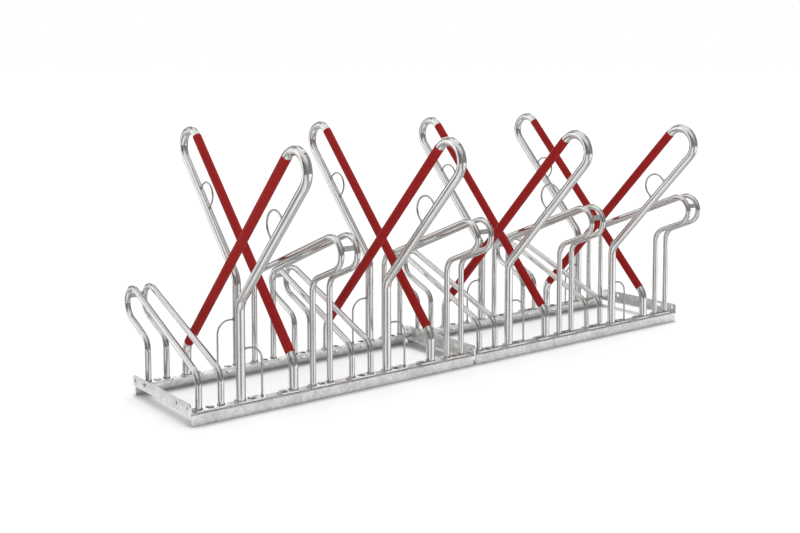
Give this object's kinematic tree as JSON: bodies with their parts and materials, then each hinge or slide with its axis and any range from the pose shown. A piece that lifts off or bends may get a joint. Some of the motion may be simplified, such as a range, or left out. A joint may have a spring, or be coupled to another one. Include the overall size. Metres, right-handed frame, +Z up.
{
  "type": "bike leaning rack",
  "caption": "Two-sided bicycle rack: bolted angle-iron frames carry staggered tube wheel holders and crossing inclined leaning bars with red sleeves and welded lock eyes.",
  "frame": {"origin": "on the ground, in the middle of the footprint", "axes": "+X along the rack, +Y from the front to the back, +Z up"},
  "size_m": [2, 1.0396, 0.76],
  "materials": {
    "galvanised_bar_tube": "hot-dip galvanised, bright, streaky",
    "galvanised_hoop_tube": "hot-dip galvanised, bright, streaky",
    "galvanised_angle": "hot-dip galvanised, pale and matt",
    "galvanised_flat": "hot-dip galvanised, pale and matt",
    "galvanised_wire": "hot-dip galvanised",
    "zinc_fastener": "zinc plated",
    "red_sleeve": "satin shrink-on sleeve"
  },
  "bodies": {
    "root": {"bar_sleeve_back_1": "red_sleeve", "bar_sleeve_back_2": "red_sleeve", "bar_sleeve_back_3": "red_sleeve", "bar_sleeve_back_4": "red_sleeve", "bar_sleeve_front_1": "red_sleeve", "bar_sleeve_front_2": "red_sleeve", "bar_sleeve_front_3": "red_sleeve", "bar_sleeve_front_4": "red_sleeve", "bare_leg_foot_plates": "galvanised_flat", "coupling_bolts": "zinc_fastener", "coupling_nuts": "zinc_fastener", "cross_angle_left_1": "galvanised_angle", "cross_angle_left_2": "galvanised_angle", "cross_angle_right_1": "galvanised_angle", "cross_angle_right_2": "galvanised_angle", "foot_bolts": "zinc_fastener", "foot_nuts": "zinc_fastener", "high_hoop_1_left": "galvanised_hoop_tube", "high_hoop_1_right": "galvanised_hoop_tube", "high_hoop_2_left": "galvanised_hoop_tube", "high_hoop_2_right": "galvanised_hoop_tube", "high_hoop_3_left": "galvanised_hoop_tube", "high_hoop_3_right": "galvanised_hoop_tube", "high_hoop_4_left": "galvanised_hoop_tube", "high_hoop_4_right": "galvanised_hoop_tube", "holder_foot_plates": "galvanised_flat", "holder_rungs": "galvanised_flat", "leaning_bar_back_1": "galvanised_bar_tube", "leaning_bar_back_2": "galvanised_bar_tube", "leaning_bar_back_3": "galvanised_bar_tube", "leaning_bar_back_4": "galvanised_bar_tube", "leaning_bar_front_1": "galvanised_bar_tube", "leaning_bar_front_2": "galvanised_bar_tube", "leaning_bar_front_3": "galvanised_bar_tube", "leaning_bar_front_4": "galvanised_bar_tube", "lock_eye_back_1": "galvanised_wire", "lock_eye_back_2": "galvanised_wire", "lock_eye_back_3": "galvanised_wire", "lock_eye_back_4": "galvanised_wire", "lock_eye_front_1": "galvanised_wire", "lock_eye_front_2": "galvanised_wire", "lock_eye_front_3": "galvanised_wire", "lock_eye_front_4": "galvanised_wire", "lock_wires_back": "galvanised_wire", "lock_wires_front": "galvanised_wire", "low_hoop_1_left": "galvanised_hoop_tube", "low_hoop_1_right": "galvanised_hoop_tube", "low_hoop_2_left": "galvanised_hoop_tube", "low_hoop_2_right": "galvanised_hoop_tube", "low_hoop_3_left": "galvanised_hoop_tube", "low_hoop_3_right": "galvanised_hoop_tube", "low_hoop_4_left": "galvanised_hoop_tube", "low_hoop_4_right": "galvanised_hoop_tube", "rail_back_1": "galvanised_angle", "rail_back_2": "galvanised_angle", "rail_front_1": "galvanised_angle", "rail_front_2": "galvanised_angle", "sleeved_leg_foot_plates": "galvanised_flat"}
  },
  "joints": []
}
